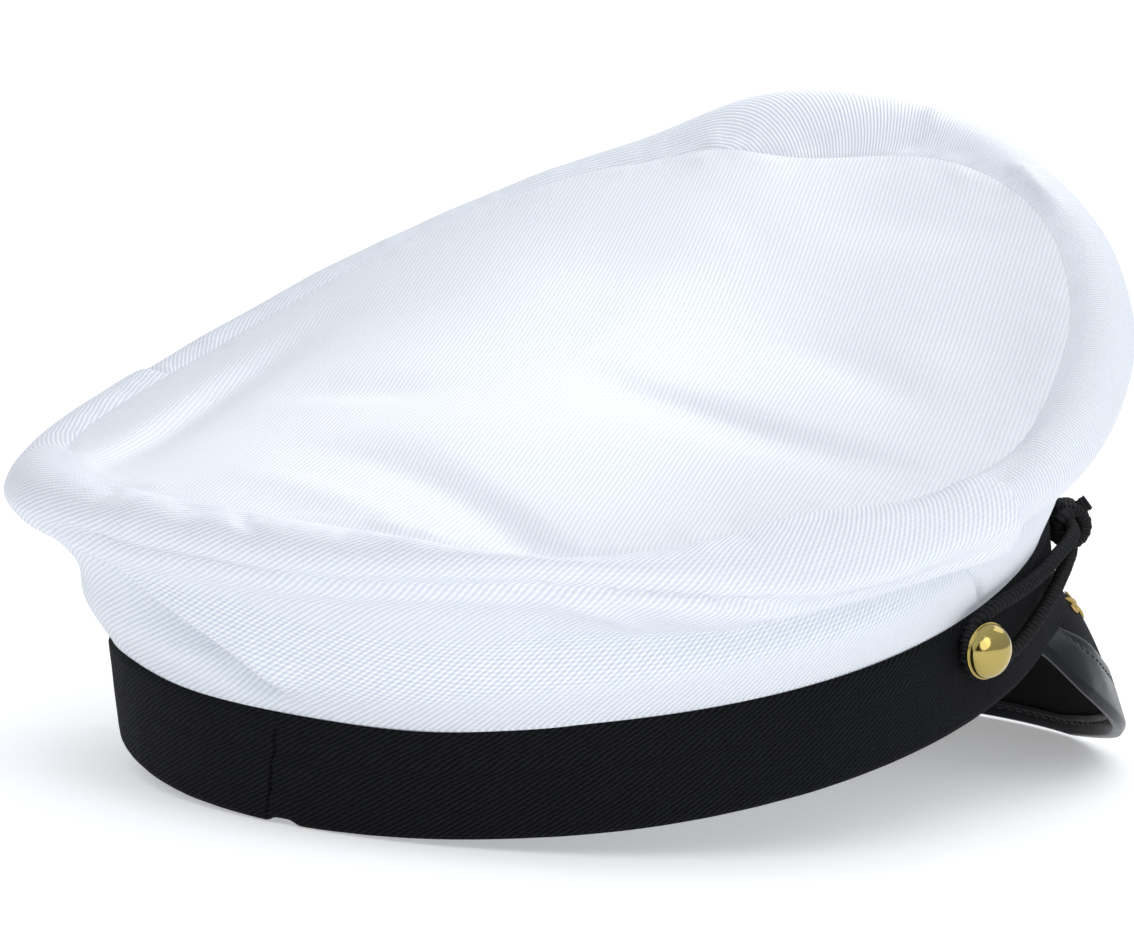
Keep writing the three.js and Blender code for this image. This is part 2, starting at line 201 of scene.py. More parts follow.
def band_radius(t):
    """The band's radius at the angle t, from the front over the wearer's right."""
    wave = head_ring["oval"] * math.cos(2 * t) + head_ring["egg"] * math.cos(3 * t)
    return head_ring["mean"] * (1 + wave + head_ring["square"] * math.cos(4 * t))


def bell(distance, width):
    """1 in the middle, fading smoothly over the width."""
    return math.exp(-((distance / width) ** 2))


def near_angle(t, at, width):
    """1 at that angle, fading over a width in degrees."""
    return bell((t / degree - at + 180) % 360 - 180, width)


def band_top(t):
    """The height of the band's upper edge."""
    dip = sum(down * near_angle(t, at, width) for at, width, down in band_dips)
    rise = band["front_rise"] * math.cos(t) + band["end_rise"] * math.cos(2 * t)
    return band["height"] + rise - dip


def on_hat(t, out, height):
    """The point at the angle t, a distance out from the band, at a height over its lower edge."""
    radius = band_radius(t) + out
    return Vector((-radius * math.sin(t), -radius * math.cos(t), height))


def smooth_share(value, low, high):
    """0 at or below the low value, 1 at or above the high one, and smooth between them."""
    share = min(max((value - low) / (high - low), 0), 1)
    return share * share * (3 - 2 * share)


def flare_at(t):
    """How far the visor pushes out the band's lower edge."""
    turned = abs((t / degree + 180) % 360 - 180)
    return flare["size"] * (1 - smooth_share(turned, flare["full"], flare["end"]))


def ripple(x, y, size, pattern):
    """Soft unevenness between -1 and 1, with waves of about that size."""
    return noise.noise(Vector((x / size, y / size, pattern)))


def unevenness(x, y, waves):
    """The sum of several ripples, each with its depth, the size of its waves and its pattern."""
    return sum(depth * ripple(x, y, size, pattern) for depth, size, pattern in waves)


def lay_cloth(columns, rows, skin, closed=False):
    """A grid laid over skin(u, v), which gives a point of the outer face, its place on the flat
    cloth, x along the ribs of the weave, and where it varies, how far the cloth lies double
    there. A closed one is joined up with itself."""
    bm = bmesh.new()
    weave = bm.loops.layers.uv.new("weave")
    doubled = bm.verts.layers.float.new("doubled")
    bmesh.ops.create_grid(bm, x_segments=columns, y_segments=rows, size=0.5)
    flat = {}
    for vert in bm.verts:
        vert.co, flat[vert], *double = skin(0.5 - vert.co.x, 0.5 + vert.co.y)
        vert[doubled] = sum(double)
    for face in bm.faces:
        for loop in face.loops:
            loop[weave].uv = flat[loop.vert]
    if closed:
        bmesh.ops.remove_doubles(bm, verts=bm.verts, dist=0.001)
    bm.normal_update()
    return bm


def along_ribs(x, y, rib_angle):
    """A place on the flat cloth, turned so that the ribs run along x."""
    a = rib_angle * degree
    return (x * math.cos(a) + y * math.sin(a), y * math.cos(a) - x * math.sin(a))


def finish_piece(name, bm, material, replaces=(), thickness=0):
    bmesh.ops.transform(bm, matrix=band_place, verts=bm.verts)
    for edge in bm.edges:
        edge.smooth = not edge.is_boundary
    mesh = bpy.data.meshes.new(name)
    bm.to_mesh(mesh)
    bm.free()
    mesh.materials.append(material)
    mesh.shade_smooth()
    piece = bpy.data.objects.new(name, mesh)
    scene.collection.objects.link(piece)
    if thickness:
        wall = piece.modifiers.new("wall", "SOLIDIFY")
        wall.thickness = thickness * mm
        wall.offset = -1
    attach(piece, "root")
    if replaces:
        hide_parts(*replaces)
    return piece


# The cross threads: their pitch as a share of the ribs', and how much they show beside the ribs
# on single and on doubled cloth.
cross_thread_pitch = 0.65
cross_threads, doubled_threads = 0.16, 0.36
slub = 0.25                            # how much uneven yarn clouds the ribs


def twill(name, rib, groove, relief, sockets):
    """Twill: raised diagonal ribs with the cross threads showing as rows of dots, and the groove
    colour painted into the hollows between them as shade. It reads the weave map, in millimetres,
    and the attribute that says where the cloth lies double."""
    material, tree, shader = new_material(name, sockets)
    weave = add_node(tree, "UVMap", uv_map="weave").outputs["UV"]
    doubled = add_node(tree, "Attribute", attribute_name="doubled").outputs["Fac"]
    ribs = add_node(tree, "TexWave", {
        "Vector": weave, "Scale": math.pi / 10 / twill_pitch,
        "Distortion": 0.8, "Detail": 1.0, "Detail Scale": 0.6,
    }, bands_direction="Y")
    threads = add_node(tree, "TexWave", {
        "Vector": weave, "Scale": math.pi / 10 / (twill_pitch * cross_thread_pitch),
        "Distortion": 1.2,
    }, bands_direction="DIAGONAL")
    mottle = add_node(tree, "TexNoise", {"Vector": weave, "Scale": 0.9, "Detail": 3.0})
    dots = add_node(tree, "Mix", {
        "Factor": cross_threads, "A": ribs.outputs["Fac"], "B": threads.outputs["Fac"],
    })
    crossed = add_node(tree, "Mix", {
        "Factor": doubled_threads, "A": ribs.outputs["Fac"], "B": threads.outputs["Fac"],
    })
    surface = add_node(tree, "Mix", {
        "Factor": doubled, "A": dots.outputs[0], "B": crossed.outputs[0],
    })
    worn = add_node(tree, "Mix", {
        "Factor": slub, "A": surface.outputs[0], "B": mottle.outputs["Fac"],
    })
    sharper = add_node(tree, "MapRange", {
        "Value": worn.outputs[0], "From Min": 0.25, "From Max": 0.8,
    })
    # Where the cloth lies double, the sharper mix gives more of the painted groove shade between
    # the threads.
    lit = add_node(tree, "Mix", {
        "Factor": doubled, "A": worn.outputs[0], "B": sharper.outputs["Result"],
    })
    # Painted shade: the groove colour darkens the hollows between the ribs and threads.
    tone = add_node(tree, "Mix", {
        "Factor": lit.outputs[0], "A": colour(groove), "B": colour(rib),
    }, data_type="RGBA")
    bump = add_node(tree, "Bump", {
        "Strength": 1.0, "Distance": relief * mm, "Height": surface.outputs[0],
    })
    tree.links.new(tone.outputs[2], shader.inputs["Base Color"])
    tree.links.new(bump.outputs["Normal"], shader.inputs["Normal"])
    return material


# Dyed cotton twill: matt, nearly black, the ribs catching a little light; the groove colour is
# black, as painted shade between them.
black_twill = twill("black cotton twill", "#202124", "#000000", 0.3, {
    "Roughness": 0.8, "IOR": 1.4, "Specular IOR Level": 0.1,
})


def band_skin(u, v):
    crowd = band_seam["crowding"] * math.sin(2 * math.pi * u) / (2 * math.pi)
    wander = ripple(v * band_seam["sewn"], 0, band_seam["wander_size"], 5)
    seam_at = band_seam["at"] + band_seam["lean"] * (1 - v) + band_seam["wander"] * wander
    turn = 360 * (u - crowd)
    t = (seam_at + turn) * degree
    past = min(turn, 360 - turn) * band_radius(t) * degree
    top = band_top(t)
    side = (turn - 360 + notch["past"]) / notch["width"]
    low = notch["rise"] * math.exp(-side ** 4)
    height = low + v * (top - low)
    out = flare_at(t) * max(1 - height / flare["height"], 0) ** flare["fade"]
    edges = bell(height - low, band["edge_width"]) + bell(top - height, band["edge_width"])
    out -= band["edge_round"] * edges
    sewn = smooth_share(top - height, band_seam["ends"], band_seam["full"])
    out -= band_seam["tuck"] * bell(past, band_seam["soft"]) * sewn
    out += unevenness(turn * band["millimetres_per_degree"], height, band_waves)
    flat = along_ribs(-turn * degree * head_ring["mean"], height, band_rib_angle)
    return on_hat(t, out, height), flat


finish_piece(
    "cloth_band", lay_cloth(columns=640, rows=34, skin=band_skin), black_twill,
    ["band"], thickness=band["thickness"])

# ---------------------------------------------------------------- crown sides
# Two panels of bleached polyester twill, front and rear, joined at seams over the ears. Each is
# sewn to the band, bellies out over it and rolls over at the rim to the seam of the top panel.

# The cloth's section, each place with how far out from the band and how far up it lies: the foot
# on the band's edge, the slack over it and the waist under the roll. Its raw edge is tucked
# behind the band, and its folds start a little above it.
cloth = {
    "thickness": 0.7, "foot": -0.7, "over_band": 0.3, "slack": 3.6, "slack_height": 9,
    "waist": 4.4, "waist_height": 17, "under_roll": 1, "over_waist": 2, "tucked": 2.0,
    "tucked_in": 0.5, "fold_starts": 6,
}
# The side seams: their angle, how far they lean forward over the lowest share of the cloth, and
# their groove. Beside them the roll of the rear panel stands out over that of the front one,
# more on the right than on the left.
side_seam = {
    "at": 94, "lean": 9.5, "lean_share": 0.35, "crowding": 0.12, "groove": 0.9, "soft": 0.9,
    "foot": 3, "rear_out": 1.8, "front_in": 1.6, "left_share": 0.2, "starts": 20, "full": 32,
    "top": 6, "belly": 2.5, "belly_width": 9, "joined": 1.6,
}
# How far the rim's edge stands out from the band, its height, and half the roll's thickness, at
# every 30 degrees from the front.
rim_rows = [
    (16.5, 84, 7.0), (18.0, 73, 6.8), (20.5, 58, 6.2), (21.0, 48, 5.8),
    (18.5, 47, 5.4), (15.5, 55, 5.2), (14.0, 57, 5.2), (15.5, 56, 5.4),
    (18.5, 48, 5.8), (21.0, 48, 6.0), (20.5, 58, 6.4), (18.0, 72, 6.8),
]
# Short rises and dips of the rim: the angle, half its width in degrees, and the height.
rim_waves = [(345, 9, 2.4), (3, 9, -0.8), (150, 12, 1.2), (122, 10, -1.2)]
# The roll's section round its edge, in shares of half its thickness: out, up.
roll_rows = [(-1.30, -1.50), (-0.45, -0.85), (0, 0), (-0.45, 0.80), (-1.20, 1.10)]
# The seam of the top panel: how far in it lies, the depth and width of its groove, where it pulls
# deeper, how near to it the folds are held flat, and where the puckers beside it are.
top_seam = {
    "inset": 12.5, "tuck": 0.14, "soft": 0.9, "deeper": 3, "deeper_at": 150, "deeper_width": 16,
    "held": 3.5, "puckers_at": 3, "puckers_width": 4,
}
# The puckers of the sides: depth, size and pattern, read on a ring this far out from the band.
side_puckers = [(0.3, 3.2, 3), (0.5, 9, 4)]
pucker_ring = 4
# Where the seam of the top panel wanders: the angle, half its width in degrees, how far inward,
# how far up, and how far up the roll's inner edge.
seam_waves = [
    (84, 9, -1.0, -1.0, -0.5), (118, 13, 4.0, 4.6, 2.5), (147, 11, -1.0, -4.4, -2.4),
    (183, 16, 0.5, 1.4, 0.8), (223, 10, 2.0, 1.2, 0.7), (300, 20, 2.0, 1.5, 0.8),
    (-4, 21, 15.0, -8.5, -0.8),
]
# The sides are cut as curved strips, the front one (0) more curved than the rear one (180): the
# radius and the turn of the flat pattern, and the angle round the hat where its ribs lie at
# rib_angle.
patterns = {
    0: {"radius": 127, "turn": 0.75, "middle": 141, "rib_angle": 36},
    180: {"radius": 330, "turn": 0.3, "middle": 141, "rib_angle": 43},
}
step_per_degree = 1.75                 # millimetres round the side for a degree

# Folds of the sides. Each has its width on either side of its line, and the places it runs
# through: the angle, the distance up the cloth from the band, and how far it stands out.
side_folds = [
    # the crease under the roll, round the back and the right
    (1.8, 3.4, [(215, 36, 0), (196, 38, -2.0), (181, 38, -2.2), (169, 37, -2.2), (154, 37, -2.0),
                (140, 37, -2.0), (131, 36.5, -2.2), (125.5, 33.5, -2.4), (119, 29.7, -2.2),
                (109, 29, -1.8), (100, 33, -1.0), (95, 36, 0)]),
    # the slack drawn down to the band at the back
    (6.0, 3.6, [(206.6, 31, 0), (199.6, 23.9, -2.2), (194.3, 18.9, -4.2), (188.4, 14.3, -5.6),
                (183, 9.5, -5.8), (179.5, 5.5, -4.4), (178, 2, 0)]),
    (2.6, 6.0, [(205, 34, 0), (198.6, 27.4, 1.2), (193.3, 22.4, 2.4), (187.4, 17.8, 3.0),
                (182, 13, 3.0), (178.3, 8, 2.4), (176, 4, 0)]),
    # soft bellies behind the ear
    (7.0, 6.0, [(172, 22, 0), (160, 26, 1.1), (150, 27, 1.3), (136, 25, 0)]),
    (3.0, 2.4, [(147, 36, 0), (141, 31, 1.1), (137.5, 25.5, 1.0), (135, 20, 0)]),
    (5.0, 4.0, [(130, 27, 0), (120, 22, -0.9), (110, 19, -0.9), (101, 20, 0)]),
    # short pleats of the roll beside the top seam
    (3.6, 3.6, [(203, 56, 0), (200, 50, -0.8), (197, 42, 0)]),
    (4.2, 4.2, [(196, 56, 0), (193, 50, 0.8), (190, 42, 0)]),
    (3.4, 3.4, [(188, 55, 0), (186, 49, -0.7), (183, 41, 0)]),
    (1.8, 1.8, [(180.5, 55, 0), (178.5, 49, -0.8), (174, 44, 0)]),
    (2.4, 2.4, [(168, 54, 0), (160, 49, 0.8), (150, 47, 0)]),
    # the hollow under the roll, in front of the right side seam
    (7.0, 7.0, [(90, 23, 0), (85, 24, -2.4), (75, 26, -3.4), (64, 29, -2.4), (54, 32, 0)]),
    # puckers of the front roll beside the top seam
    (2.4, 2.4, [(7, 66, 0), (9.5, 73, 0.7), (12, 78, 0)]),
    (2.0, 2.0, [(24, 71, 0), (27, 68.5, 1.5), (33, 66, 1.4), (38, 63, 0)]),
]


def fold_rise(x, y, folds):
    """How far the cloth stands out at a place of its flat pattern, from all folds near it."""
    rise = 0
    for left, right, points in folds:
        nearest = 1e9
        for (ax, ay, a_rise), (bx, by, b_rise) in zip(points, points[1:]):
            dx, dy = bx - ax, by - ay
            share = ((x - ax) * dx + (y - ay) * dy) / (dx * dx + dy * dy)
            share = min(max(share, 0), 1)
            away_x, away_y = x - ax - share * dx, y - ay - share * dy
            away = math.hypot(away_x, away_y)
            if away < nearest:
                nearest = away
                width = left if dx * away_y - dy * away_x > 0 else right
                height = a_rise + (b_rise - a_rise) * share
        if nearest < 3 * width:
            rise += height * bell(nearest, width)
    return rise


def curve_point(points, share):
    """A point of the smooth curve through these points (centripetal Catmull-Rom)."""
    last = len(points) - 1
    k = min(int(share * last), last - 1)
    w = share * last - k
    p1, p2 = points[k], points[k + 1]
    p0 = points[k - 1] if k > 0 else p1 * 2 - p2
    p3 = points[k + 2] if k + 2 <= last else p2 * 2 - p1
    d0, d1, d2 = [(b - a).length ** 0.5 for a, b in ((p0, p1), (p1, p2), (p2, p3))]
    leave = ((p1 - p0) / d0 - (p2 - p0) / (d0 + d1) + (p2 - p1) / d1) * d1
    reach = ((p2 - p1) / d1 - (p3 - p1) / (d1 + d2) + (p3 - p2) / d2) * d1
    bend, rest = (p2 - p1) * 3 - leave * 2 - reach, (p1 - p2) * 2 + leave + reach
    return p1 + leave * w + bend * w ** 2 + rest * w ** 3


def rim_at(t):
    """The rim's distance out, height and half thickness, smoothly between the rows."""
    place = (t / (2 * math.pi)) % 1 * len(rim_rows)
    k, w = int(place), place % 1
    r0, r1, r2, r3 = [Vector(rim_rows[(k + n) % len(rim_rows)]) for n in (-1, 0, 1, 2)]
    leave, reach = (r2 - r0) / 2, (r3 - r1) / 2
    bend, rest = (r2 - r1) * 3 - leave * 2 - reach, (r1 - r2) * 2 + leave + reach
    return r1 + leave * w + bend * w ** 2 + rest * w ** 3


def side_section(t):
    """The points that the side's section runs through at the angle t: out, up."""
    out, edge, roll = rim_at(t)
    for at, width, rise in rim_waves:
        edge += rise * near_angle(t, at, width)
    foot = band_top(t) + cloth["over_band"]
    waist = foot + cloth["waist_height"]
    turned = [[out + x * roll, edge + y * roll] for x, y in roll_rows]
    turned[0][1] = max(turned[0][1], waist + cloth["under_roll"])
    rising = [
        (cloth["foot"], foot), (cloth["slack"], foot + cloth["slack_height"]),
        (cloth["waist"], min(waist, turned[0][1] - cloth["over_waist"])),
    ]
    inward = top_seam["inset"]
    up = edge + roll
    for at, width, wander_in, wander_up, edge_up in seam_waves:
        near = near_angle(t, at, width)
        inward += wander_in * near
        up += wander_up * near
        turned[-1][1] += edge_up * near
    return [Vector(p) for p in [*rising, *turned, (out - inward, up)]]


section_steps = 60


def section_table(t):
    """The section at the angle t as even steps, with the length of cloth up to each."""
    points = side_section(t)
    line = [curve_point(points, k / section_steps) for k in range(section_steps + 1)]
    lengths = [0]
    for a, b in zip(line, line[1:]):
        lengths.append(lengths[-1] + (b - a).length)
    return line, lengths


tables_per_degree = 200
section_tables = {}


def side_place(t, share):
    """A point of the side's section a share of the cloth's length up: out, up, its outward
    slope, and the length of cloth below and above it."""
    key = round(t / degree * tables_per_degree)
    if key not in section_tables:
        section_tables[key] = section_table(t)
    line, lengths = section_tables[key]
    wanted = share * lengths[-1]
    k = 0
    while k < section_steps - 1 and lengths[k + 1] < wanted:
        k += 1
    w = (wanted - lengths[k]) / (lengths[k + 1] - lengths[k])
    before, after = line[max(k - 1, 0)], line[min(k + 2, section_steps)]
    along = (after - before).normalized()
    return line[k].lerp(line[k + 1], w), Vector((along.y, -along.x)), wanted, lengths[-1] - wanted


def seam_angle(share):
    """The side seam leans forward at its foot, where the cloth is pulled on to the band."""
    lean = max(1 - share / side_seam["lean_share"], 0)
    return side_seam["at"] - side_seam["lean"] * lean


def seam_tuck(t):
    """How deep the top panel's seam is drawn in: deeper at the right rear, where it pulls."""
    deeper = near_angle(t, top_seam["deeper_at"], top_seam["deeper_width"])
    return top_seam["tuck"] * (1 + top_seam["deeper"] * deeper)


# A strip that lines the rear panel on the right, over its foot, from the side seam to the crease
# at the back: the angle, its lower edge, its upper edge.
lining_rows = [
    (102, 10, 13), (109, 10, 14.6), (135, 10, 21.5), (150, 9, 21), (165, 7, 21.5), (178, 3.5, 24),
    (200, 12, 30),
]
lining = {"soft": 0.9, "end_soft": 1.5, "end": 172, "end_lean": 0.95, "end_width": 4}


def lining_share(t, below):
    """How far the cloth lies double, on the strip along the rear panel's foot."""
    angle = t / degree
    start, low, high = lining_rows[0]
    for (a, a_low, a_high), (b, b_low, b_high) in zip(lining_rows, lining_rows[1:]):
        if a <= angle < b:
            share = (angle - a) / (b - a)
            low = a_low + (b_low - a_low) * share
            high = a_high + (b_high - a_high) * share
    soft, end_soft = lining["soft"], lining["end_soft"]
    strip = smooth_share(below, low - soft, low + soft)
    strip *= 1 - smooth_share(below, high - soft, high + soft)
    strip *= smooth_share(angle, start - end_soft, start + end_soft)
    end = lining["end"] + lining["end_lean"] * below
    return strip * (1 - smooth_share(angle, end - lining["end_width"], end))


# Soft unevenness of the sides: its depth, the size of its waves, its pattern, how far above the
# band it is full, and how far from the side seams.
side_swell = {"waves": [(0.45, 24, 7)], "above_band": 8, "beside_seam": 9}


def roll_step(turn, angle, past, below, above):
    """How far the roll stands out beside a side seam, or in on the front panel."""
    step = side_seam["rear_out"] if turn else -side_seam["front_in"]
    step *= 1 if 0 < angle < 180 else side_seam["left_share"]
    step *= smooth_share(below, side_seam["starts"], side_seam["full"])
    step *= smooth_share(above, 0, side_seam["top"])
    belly = bell(past - side_seam["belly"], side_seam["belly_width"])
    return step * belly * smooth_share(past, 0, side_seam["joined"])


def side_panel(turn, columns, rows):
    """One side panel from seam to seam: turn is 0 for the front panel and 180 for the rear."""
    pattern = patterns[turn]

    def skin(u, v):
        share = max(v * (rows + 1) - 1, 0) / rows
        half = abs(seam_angle(share) - turn)
        spread = (2 * u - 1) + side_seam["crowding"] * math.sin(2 * math.pi * u) / math.pi
        angle = turn + max(min(spread, 1), -1) * half
        t = angle * degree
        point, slope, below, above = side_place(t, share)
        x = angle * step_per_degree
        past = (half - abs(angle - turn)) * step_per_degree
        rise = fold_rise(x, below, scaled_side_folds)
        rise *= smooth_share(below, 0, cloth["fold_starts"])
        groove = side_seam["groove"] * bell(past, side_seam["soft"])
        rise -= groove * min(below / side_seam["foot"], 1)
        rise += roll_step(turn, angle, past, below, above)
        ring = on_hat(t, pucker_ring, 0)
        near_seam = bell(above - top_seam["puckers_at"], top_seam["puckers_width"])
        rise += unevenness(ring.x, ring.y, side_puckers) * near_seam
        swell = unevenness(x, below, side_swell["waves"])
        swell *= min(below / side_swell["above_band"], 1)
        rise += swell * smooth_share(past, 0, side_swell["beside_seam"])
        rise *= smooth_share(above, 0, top_seam["held"])
        rise -= seam_tuck(t) * bell(above, top_seam["soft"])
        place = point + slope * rise
        if v == 0:
            place = place + Vector((-cloth["tucked_in"], -cloth["tucked"]))
        reach = pattern["radius"] + below
        bend = pattern["turn"] * (pattern["middle"] - angle) * degree
        flat = along_ribs(reach * math.sin(bend), reach * math.cos(bend), pattern["rib_angle"])
        return on_hat(t, place.x, place.y), flat, lining_share(t, below) if turn else 0

    return lay_cloth(columns, rows + 1, skin)


scaled_side_folds = [
    (left, right, [(angle * step_per_degree, up, rise) for angle, up, rise in points])
    for left, right, points in side_folds
]

# Bleached polyester twill: a clean, faintly blue white with a soft sheen along its ribs, and
# blue-grey painted shade in the grooves between them.
white_cloth = {"Roughness": 0.62, "IOR": 1.48, "Sheen Weight": 0.1, "Sheen Roughness": 0.4}
white_twill = twill("bleached polyester twill", "#FBFCFE", "#CBD3E1", 0.11, white_cloth)
front_side = finish_piece(
    "front_side_panel", side_panel(0, columns=400, rows=84), white_twill,
    ["crown_side_front"], thickness=cloth["thickness"])
rear_side = finish_piece(
    "rear_side_panel", side_panel(180, columns=400, rows=84), white_twill,
    ["crown_side_rear"], thickness=cloth["thickness"])

# ---------------------------------------------------------------- crown top
# One oval panel of the same twill, pulled taut over the hollow crown by the seam inside the
# roll, so that it hangs like a film over the uneven ring.

# The ring of the seam, as the first waves of its height round the hat.
ring_samples, ring_orders = 72, 7
ring_waves = []
for n in range(ring_orders):
    cosine = sine = 0
    for k in range(ring_samples):
        t = k / ring_samples * 2 * math.pi
        rim_point = side_place(t, 1)[0]
        cosine += rim_point.y * math.cos(n * t) * (1 if n == 0 else 2) / ring_samples
        sine += rim_point.y * math.sin(n * t) * 2 / ring_samples
    ring_waves.append((cosine, sine))
# The powers by which the ring's own unevenness, the swells and the ripples fade near the seam.
seam_fade, swell_fade, ripple_fade = 8, 8, 6
# Folds of the top panel, as those of the sides, in plan: across, along, and how far up.
top_folds = [
    # the cloth stands up over the back and drops to the seam at the right rear
    (16.0, 5.5, [(32, 44, 0), (8, 47, 0.3), (-10, 52, 0.6), (-32, 62, 0.8), (-50, 71, 0.9),
                 (-62, 77, 0.2)]),
    (5.0, 6.5, [(30, 58, 0), (12, 60, -0.5), (-3, 63, -0.9), (-17, 67, -1.2), (-35, 74, -1.3),
                (-52, 82, -1.2), (-67, 86, -0.6)]),
    (6.0, 6.0, [(26, 76, 0), (6, 80, 0.9), (-12, 85, 1.3), (-30, 91, 1.0), (-42, 95, 0)]),
    # from the middle to the right ear
    (5.5, 9.0, [(2, -2, 0), (-22, 8, -1.1), (-39, 9.5, -1.8), (-56, 12.7, -2.1), (-75, 13.1, -1.9),
                (-94, 11.6, -0.5)]),
    (7.0, 7.0, [(-30, -27, 0), (-51, -23, -1.0), (-66, -17, -1.2), (-84, -10, 0)]),
    # a dent on the left of the middle
    (8.0, 6.5, [(54, 29, 0), (42, 25, -1.0), (28, 23, -1.1), (12, 26, 0)]),
    # along the left rim
    (4.5, 9.5, [(51, 84, -0.8), (59.6, 66, -2.6), (68.5, 42.5, -3.4), (74, 22, -3.2),
                (76.5, 4.5, -2.4), (77, -9, -1.2), (76, -26, 0)]),
    # a faint one across the rise to the front, and the hollows under its steep end
    (6.0, 5.0, [(25, -79, 0), (8, -68, -0.2), (-6, -58, -0.2), (-18, -49, 0)]),
    (9.0, 9.0, [(-10, -70, 0), (-29, -72, -0.6), (-45, -75, -0.7), (-66, -76, 0)]),
    (2.2, 2.2, [(-24, -100, 0), (-33, -94, 0.8), (-39, -89, 0)]),
]
# Broad swells and hollows of the slack top: across, along, their width and their height.
top_swells = [(-6, 40, 28, 2.0), (-30, -30, 30, -2.6), (-78, -38, 14, -1.8)]
top_ripples = [(0.6, 30, 9)]
# The top's puckers beside its seam, and how much wider the seam's groove is on this side.
top_puckers = [(0.2, 3.2, 3), (0.5, 9, 4)]
top_puckers_at = 2.5
softer_on_top = 1.4


def film_height(t, share):
    """A taut cloth over the ring: each wave of the ring fades inward by its own power."""
    return sum(
        (cosine * math.cos(n * t) + sine * math.sin(n * t)) * share ** n
        for n, (cosine, sine) in enumerate(ring_waves))


top_rib_angle = 111.5
# Bleached polyester twill, pulled taut: its ribs are drawn flat, so they show less. It is a copy
# of the same cloth painted for the light on the top: its ribs a little darker, its grooves with
# less painted shade.
taut_twill_painted_for_top_light = twill("bleached polyester twill, taut", "#EEF0F4", "#D8DDE7", 0.07, white_cloth)


def top_skin(u, v):
    t = u * 2 * math.pi
    rim_point = side_place(t, 1)[0]
    edge = on_hat(t, rim_point.x, rim_point.y)
    share = 1 - v
    reach = math.hypot(edge.x, edge.y)
    past = reach * v
    height = film_height(t, share) + (edge.z - film_height(t, 1)) * share ** seam_fade
    x, y = edge.x * share, edge.y * share
    rise = fold_rise(x, y, top_folds)
    for across, along, width, swell in top_swells:
        near = bell(math.hypot(x - across, y - along), width)
        height += swell * near * (1 - share ** swell_fade)
    ring = on_hat(t, pucker_ring, 0)
    near_seam = bell(past - top_puckers_at, top_seam["puckers_width"])
    rise += unevenness(ring.x, ring.y, top_puckers) * near_seam
    height += rise * smooth_share(past, 0, top_seam["held"])
    height -= seam_tuck(t) * bell(past, top_seam["soft"] * softer_on_top)
    height += unevenness(x, y, top_ripples) * (1 - share ** ripple_fade)
    return Vector((x, y, height)), along_ribs(x, y, top_rib_angle)


crown_top = finish_piece(
    "top_panel", lay_cloth(columns=600, rows=72, skin=top_skin, closed=True), taut_twill_painted_for_top_light,
    ["crown_top"], thickness=cloth["thickness"])

# ---------------------------------------------------------------- visor
# A curved sheet of stiffened black wool felt, pressed to shape while damp and sewn under the
# band's front. Its edge lies on the table in the middle and is flattened there.

# Its reach and drop are those of the edge from the band. It bulges between them, is tucked in at
# the band, and its ends rise and turn in where the band covers them.
visor = {
    "half_angle": 64.3, "reach": 25.2, "drop": 54, "side_share": 0.8, "bulge": 3.6,
    "bulge_skew": 0.7, "thickness": 1.4, "rest_tilt": 13.1, "end": 63, "tuck": 1.3,
    "tuck_length": 3.5, "inside": 1.6, "turn_in": 54, "end_rise": 3.6, "end_in": 2.6,
    "under_band": 0.3, "short_of_edge": 1.4, "grain": 1.2,
}
felt_waves = [(0.08, 9, 1)]
rest_slope = math.tan(visor["rest_tilt"] * degree)
slope_step = 1e-3


def visor_edge(t):
    """How far the visor's edge stands out and hangs down; it is flattened where it rests."""
    share = max(1 - (t / (visor["half_angle"] * degree)) ** 2, 0)
    forward = visor["reach"] * share
    rest = rest_slope * (band_radius(math.pi) + (band_radius(t) + forward) * math.cos(t))
    return forward, min(visor["drop"] * share, rest)


def visor_length(t):
    """How long the visor is from the band to its edge."""
    return math.hypot(*visor_edge(t))


def visor_point(t, v):
    """The upper face, from the band at v = 0 to the edge at v = 1."""
    forward, drop = visor_edge(t)
    full = min(visor_length(t) / visor["drop"], 1)
    out = flare_at(t) * (1 - v) + forward * v
    out += visor["bulge"] * math.sin(math.pi * max(v, 0) ** visor["bulge_skew"]) * full
    out -= visor["tuck"] * bell(max(v, 0) * visor_length(t), visor["tuck_length"])
    sewn_in = smooth_share(abs(t) / degree, visor["turn_in"], visor["end"])
    out -= visor["end_in"] * sewn_in
    radius, under = band_radius(t), visor["under_band"]
    return Vector((
        -(radius + visor["side_share"] * out) * math.sin(t), -(radius + out) * math.cos(t),
        -under - (drop - under) * v + visor["end_rise"] * sewn_in,
    ))


def visor_over(t, v, out):
    """The point a distance out from the visor's upper face, square to it."""
    low, high = v - slope_step, min(v + slope_step, 1)
    inward = visor_point(t, low) - visor_point(t, high)
    around = visor_point(t + slope_step, v) - visor_point(t - slope_step, v)
    return visor_point(t, v) + inward.cross(around).normalized() * out


def visor_skin(u, v):
    t = (2 * u - 1) * visor["end"] * degree
    length = visor_length(t)
    top, edge = -visor["inside"] / length, max(1 - visor["short_of_edge"] / length, 0)
    flat = (t * visor["grain"] * band_radius(t), v * length)
    return visor_over(t, edge + (top - edge) * v, unevenness(*flat, felt_waves)), flat


# Pressed wool felt: matt, very dark, with a short nap that lightens its edges.
black_felt, felt_tree, felt_shader = new_material("pressed wool felt", {
    "Roughness": 0.95, "IOR": 1.45, "Specular IOR Level": 0.1, "Sheen Weight": 0.03,
})
felt_place = add_node(felt_tree, "TexCoord").outputs["Object"]
